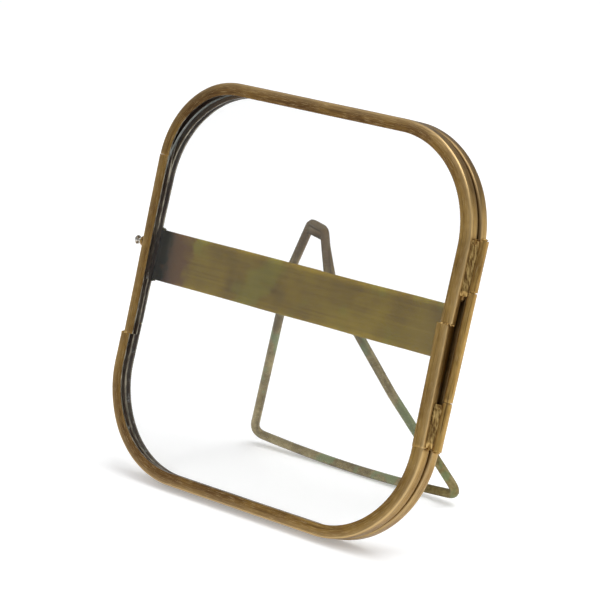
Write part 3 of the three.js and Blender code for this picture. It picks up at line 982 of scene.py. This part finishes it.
def wire_tree():
    """Sweeps a round section along a path, with a radius that can vary and taper to the ends."""
    tree, given = new_tree("drawn_wire", ("Radius", "Step", "Unevenness", "Grain", "Taper", "Seed"), "Wire")
    path = add(tree, "GeometryNodeMeshToCurve", {"Mesh": given["Path"]}).outputs[0]
    path = resampled(tree, path, given["Step"])
    here = add(tree, "GeometryNodeInputPosition").outputs[0]
    fineness = calculated(tree, "DIVIDE", 1.0, given["Grain"])
    wave = {"Vector": here, "W": given["Seed"], "Scale": fineness, "Detail": 2.0}
    wave = add(tree, "ShaderNodeTexNoise", wave, noise_dimensions="4D").outputs["Fac"]
    wave = calculated(tree, "MULTIPLY", calculated(tree, "SUBTRACT", wave, 0.5), given["Unevenness"])
    share = add(tree, "GeometryNodeSplineParameter").outputs["Factor"]
    from_end = calculated(tree, "MINIMUM", share, calculated(tree, "SUBTRACT", 1.0, share))
    full = spread(tree, from_end, 0.0, given["Taper"], 0.12, interpolation_type="SMOOTHERSTEP")
    radius = calculated(tree, "MULTIPLY", calculated(tree, "ADD", 1.0, wave), full)
    radius = calculated(tree, "MULTIPLY", radius, given["Radius"])
    path = length_kept(tree, path, "along")
    section = add(tree, "GeometryNodeCurvePrimitiveCircle", {"Resolution": 20, "Radius": 1.0})
    section = length_kept(tree, section.outputs["Curve"], "across")
    sockets = {"Curve": path, "Profile Curve": section, "Scale": radius, "Fill Caps": True}
    swept = add(tree, "GeometryNodeCurveToMesh", sockets).outputs[0]
    delivered(tree, swept, given["Finish"], "Wire")
    return tree


def wire_patina():
    """Grey-olive drawn brass with green verdigris in patches, browner near the tab."""
    material, tree, shader = metal("wire_patina", 0.5)
    place = place_of(tree)
    cloud = noise_at(tree, place, 70.0)
    specks = noise_at(tree, place, 600.0, 4.0, 0.65)
    tone = sum_of(tree, 0.0, (cloud, 0.6), (specks, 0.4))
    colour = ramp(tree, tone, [
        (0.36, (0.125, 0.09, 0.032)),
        (0.5, (0.25, 0.195, 0.084)),
        (0.64, (0.41, 0.34, 0.17)),
    ])
    axes = axes_of(tree, place)
    damp = spread(tree, axes["X"], -0.06, 0.03)
    green = worn(tree, sum_of(tree, noise_at(tree, place, 95.0, 3.0), (damp, 0.12)), 0.6, 0.7)
    colour = mixed(tree, green, colour, (0.17, 0.225, 0.09), 0.75)
    near_tab = spread(tree, axes["Z"], 0.078, 0.09)
    colour = mixed(tree, near_tab, colour, (0.15, 0.1, 0.05), 0.9)
    varied(tree, shader, "Metallic", green, 1.0, 0.45)
    varied(tree, shader, "Roughness", specks, 0.38, 0.66)
    surfaced(tree, shader, colour, specks, 0.00008)
    return material


def on_tab(x, height):
    return Vector((x, cross_middle.y + height, cross_middle.z))


def on_legs(x, down):
    angle = lean + leg_back
    return Vector((x, cross_middle.y - down * math.cos(angle), cross_middle.z - down * math.sin(angle)))


def bent(corners, steps=9):
    """Points along a path whose corners are rounded. A corner is its place and the length it bends over."""
    points = [corners[0][0]]
    for (place, bend), (after, _) in zip(corners[1:-1], corners[2:]):
        start = place + (points[-1] - place).normalized() * bend
        end = place + (after - place).normalized() * bend
        for step in range(steps + 1):
            t = step / steps
            points.append(start * (1 - t) ** 2 + place * (2 * t * (1 - t)) + end * t ** 2)
    points.append(corners[-1][0])
    return points


bar = leg_length - foot_bow
bar_half = (foot_left + foot_right) / 2
braze = on_legs(axis_right + (foot_right - axis_right) * joint_share - joint_kink, bar * joint_share)
overlap = 1.2
from_tab = (braze - on_tab(axis_right, 0)).normalized()
from_foot = (braze - on_legs(foot_right, bar)).normalized()
stand_path = bent([
    (braze + from_tab * overlap, 0),
    (on_tab(axis_right, 0), tab_bend),
    (on_tab(tab_right, tab_height - tab_slope), tab_bend),
    (on_tab(-tab_left, tab_height), tab_bend),
    (on_tab(-axis_left, 0), tab_bend),
    (on_legs(-foot_left, bar), foot_bend),
    (on_legs((foot_right - foot_left) / 2, bar + foot_bow * 2 / (2 - bow_share)), bar_half * bow_share),
    (on_legs(foot_right, bar), foot_bend),
    (braze + from_foot * overlap, 0),
], 16)

drawn_wire = wire_tree()
patina = wire_patina()
untapered = 0.0001


def wire(name, nodes, points, radius, step, unevenness, grain_size, seed, taper=untapered):
    """A length of wire or braze along points. The grain size is that of its unevenness."""
    piece = grown(path_object(name, points), drawn_wire, Radius=radius, Step=step, Unevenness=unevenness,
                  Grain=grain_size, Taper=taper, Seed=seed, Finish=patina)
    finished(piece, name, "stand", nodes)


wire("bent_wire_stand", ["stand_wire"], stand_path, wire_radius, 0.9, 0.05, 9.0, 7.0)

# The tab's top is filled with braze, and the wire's cut end lies along its right side.
tab_fill = 2.2
filled = [on_tab(-tab_left - 0.5, tab_height - tab_fill),
          on_tab(tab_right + 0.3, tab_height - tab_slope - tab_fill)]
wire("stand_tab_braze", [], filled, wire_radius * 0.97, 0.5, 0.2, 2.0, 9.0)
beside = wire_radius + 0.3
end_wire = [on_tab(tab_right + beside, tab_height - tab_slope - 2.5), on_tab(axis_right + beside, 1.5)]
wire("stand_wire_end", [], end_wire, 0.75, 0.6, 0.15, 4.0, 10.0, 0.06)

cross_ends = [Vector((x, *cross_middle.yz)) for x in (cross_box[0].x - 0.5, cross_box[1].x + 0.5)]
wire("stand_axle_wire", ["stand_cross_wire"], cross_ends, cross_radius, 0.9, 0.05, 5.0, 8.0)


# ---- Clip ----
# A strip of sheet rolled round the stand's axle wire and soldered flat to the band above and below it.
clip_box = flat_box("stand_clip")
clip_wall = 0.5
roll = cross_radius + 0.2 + clip_wall / 2
foot_z = clip_box[1].z - clip_wall / 2
foot_rise = foot_z - cross_middle.z
start_angle = math.asin(min(1.0, foot_rise / roll)) if foot_rise < roll else math.pi / 2
clip_side = [(clip_box[0].y, foot_z)]
clip_steps = 22
for clip_step in range(clip_steps + 1):
    turn = math.pi - start_angle + (math.pi + 2 * start_angle) * clip_step / clip_steps
    clip_side.append((cross_middle.y + roll * math.cos(turn), cross_middle.z + roll * math.sin(turn)))
clip_side.append((clip_box[1].y, foot_z))
clip_columns = 6
clip_points = [Vector((clip_box[0].x + (clip_box[1].x - clip_box[0].x) * column / clip_columns, y, z))
               for y, z in clip_side for column in range(clip_columns + 1)]
clip = object_of("clip", clip_points, [], grid_faces(clip_columns, len(clip_side) - 1))
grain(clip, lambda co: co.x, lambda co: co.y)
clip.data.materials.append(hinge_brass)
clip = thickened(clip, clip_wall, 0.08)
finished(clip, "rolled_stand_clip", "back_half", ["stand_clip"])


# ---- Solder ----
# Soft solder, run into every joint by hand and left as it set: small uneven beads and fillets.
def soft_solder():
    material, tree, shader = metal("soft_solder", 0.36)
    run_down = add(tree, "ShaderNodeMapping", {"Vector": place_of(tree), "Scale": (1.0, 1.0, 0.12)}).outputs[0]
    cloud = noise_at(tree, run_down, 1500.0, 4.0)
    colour = ramp(tree, cloud, [
        (0.38, (0.16, 0.088, 0.03)),
        (0.5, (0.36, 0.225, 0.075)),
        (0.61, (0.66, 0.46, 0.18)),
    ])
    surfaced(tree, shader, colour, cloud, 0.00009)
    return material


solder = soft_solder()


def beads(name, runs, radius, body, uneven=0.9, grain_size=2.2, seed=0.0, finish=solder, taper=0.16):
    """Solder in runs. Each run is a line of points, drawn as one bead that swells and thins."""
    points, edges = [], []
    for run in runs:
        first = len(points)
        points += run
        edges += [(first + i, first + i + 1) for i in range(len(run) - 1)]
    piece = grown(object_of(name, points, edges), drawn_wire, Radius=radius, Step=0.3, Unevenness=uneven,
                  Grain=grain_size, Taper=taper, Seed=seed, Finish=finish)
    finished(piece, name, body)


def line(start, end, sway=0.0, steps=12):
    """A run of points from one place to another, swaying a little sideways."""
    points = []
    for step in range(steps + 1):
        aside = Vector((sway * math.sin(step * 1.9), 0, sway * math.cos(step * 2.3)))
        points.append(Vector(start).lerp(Vector(end), step / steps) + aside)
    return points


def poured(name, runs, profile, body, swell, seed):
    """Solder that ran down a corner. Each run is (top, bottom), and the profile is (across, forwards)."""
    points, faces = [], []
    count, step, thin_end = len(profile), 0.45, 0.35
    for top, bottom in runs:
        rings = max(6, round((top - bottom) / step))
        first = len(points)
        for ring in range(rings + 1):
            y = bottom + (top - bottom) * ring / rings
            thin = thin_end + (1 - thin_end) * min(1, min(ring, rings - ring) / 4)
            for corner_number, (x, z, loose) in enumerate(profile):
                lump = noise.noise(Vector((corner_number * 2.1, y / 6.0, seed)))
                ripple = noise.noise(Vector((corner_number * 4.3, y / 2.2, seed + 9)))
                lift = loose * (thin - 1 + swell * (lump + 0.4 * ripple))
                points.append(Vector((x + 0.6 * lift, y, z + lift)))
        faces += ring_faces(rings, count, first)
        faces.append(tuple(range(first + count - 1, first - 1, -1)))
        faces.append(tuple(range(len(points) - count, len(points))))
    piece = object_of(name, points, [], faces)
    outwards(piece)
    smoother = piece.modifiers.new("molten", "SUBSURF")
    smoother.levels = smoother.render_levels = 2
    piece.data.materials.append(solder)
    finished(flattened(piece), name, body, smooth_below=80)


upper_box, lower_box = flat_box("hinge_knuckle_upper"), flat_box("hinge_knuckle_lower")
leaf_low, leaf_high = flat_box("hinge_leaf_upper")
leaf_front = leaf_high.z
knuckle_top = upper_box[1].z
rim_right = flat_box("back_rim_upper")[1].x
poured("hinge_solder_front", [
    (upper_box[1].y - 0.5, leaf_low.y + 1.2),
    (lower_box[1].y - 0.9, lower_box[0].y + 0.5),
], [
    (front_right - 0.3, leaf_front + 1.1, 0.0), (front_right + 0.15, leaf_front + 1.0, 0.5),
    (front_right + 0.6, leaf_front + 0.35, 0.8), (front_right + 1.1, leaf_front, 0.9),
    (front_right + 1.7, knuckle_top - 0.15, 0.6), (front_right + 2.1, knuckle_top - 0.05, 0.35),
    (front_right + 2.0, knuckle_top - 0.5, 0.0), (front_right - 0.3, front_back + 0.8, 0.0),
], "front_half", 0.22, 3.0)
beads("hinge_solder_back", [
    line((rim_right + 0.15, middle_knuckle[0].y + 1, back_depth - 0.9),
         (rim_right + 0.15, middle_knuckle[1].y - 1, back_depth - 0.9), 0.05),
], 0.36, "back_half", uneven=0.5, grain_size=6.0, seed=4.0)

lip_edge = rim_right - back_lip
band_low, band_high = band_box[0].y, band_box[1].y
corners_of_band = [(side * lip_edge, y) for side in (-1, 1) for y in (band_low, band_high)]
beads("band_fillets", [
    [Vector((x - math.copysign(1.5, x), y, band_box[1].z)), Vector((x - math.copysign(0.5, x), y, -0.15)),
     Vector((x + math.copysign(0.4, x), y + math.copysign(0.5, y - cross_middle.y), -0.1))]
    for x, y in corners_of_band
], 0.55, "back_half", uneven=0.3, seed=5.0, finish=olive)
beads("band_end_solder", [
    line((side * (band_box[1].x + 0.2), band_low + 0.5, band_box[1].z - 0.1),
         (side * (band_box[1].x + 0.2), band_high - 0.5, band_box[1].z - 0.1), 0.06) for side in (-1, 1)
], 0.42, "back_half", seed=6.0, finish=olive)
joint_y = (flat_box("back_rim_upper")[0].y + flat_box("back_rim_lower")[1].y) / 2
mid_sheet = sheet / 2
round_joint = [(lip_edge + 0.1, mid_sheet), (rim_right - mid_sheet, mid_sheet),
               (rim_right - mid_sheet, back_depth - mid_sheet),
               (rim_right - inner_lip + 0.1, back_depth - mid_sheet)]
beads("back_rim_joints", [
    [Vector((side * x, joint_y, z)) for x, z in round_joint] for side in (-1, 1)
], 0.36, "back_half", uneven=0.3, grain_size=3.0, seed=13.0, finish=brass, taper=0.02)
joint_front = hinge_side[1].z
beads("hinge_side_joint", [
    line((front_right - hinge_side_lip - 0.2, hinge_side[1].y + 0.1, joint_front - 0.25),
         (front_right - 0.5, hinge_side[1].y + 0.1, joint_front - 0.25), 0.05),
    line((front_right - 0.3, hinge_side[1].y + 0.1, joint_front - 0.5),
         (front_right + 0.05, hinge_side[1].y, leaf_front + 0.4), 0.05),
], 0.4, "front_half", uneven=0.5, seed=11.0)
beads("latch_side_joint", [
    line((front_left + 0.3, latch_side[0].y - 0.1, front_box[1].z - 0.15),
         (front_left + 3.4, latch_side[0].y + 0.2, front_box[1].z - 0.15), 0.1),
], 0.38, "front_half", seed=12.0)
step_middle = front_left + 0.85
beads("latch_side_step", [
    line((step_middle, latch_side[0].y - 0.05, front_back + 0.45),
         (step_middle, latch_side[0].y - 0.05, front_box[1].z - 0.6), 0.05),
], 0.62, "front_half", uneven=0.3, grain_size=3.0, seed=14.0, finish=brass, taper=0.03)
beads("stand_solder", [
    line(cross_ends[0] - Vector((0.5, 0, 0)), cross_ends[0] + Vector((0.6, 0, 0))),
    line(cross_ends[1] - Vector((0.6, 0, 0)), cross_ends[1] + Vector((0.5, 0, 0))),
], 1.5, "stand", uneven=0.2, seed=7.0)
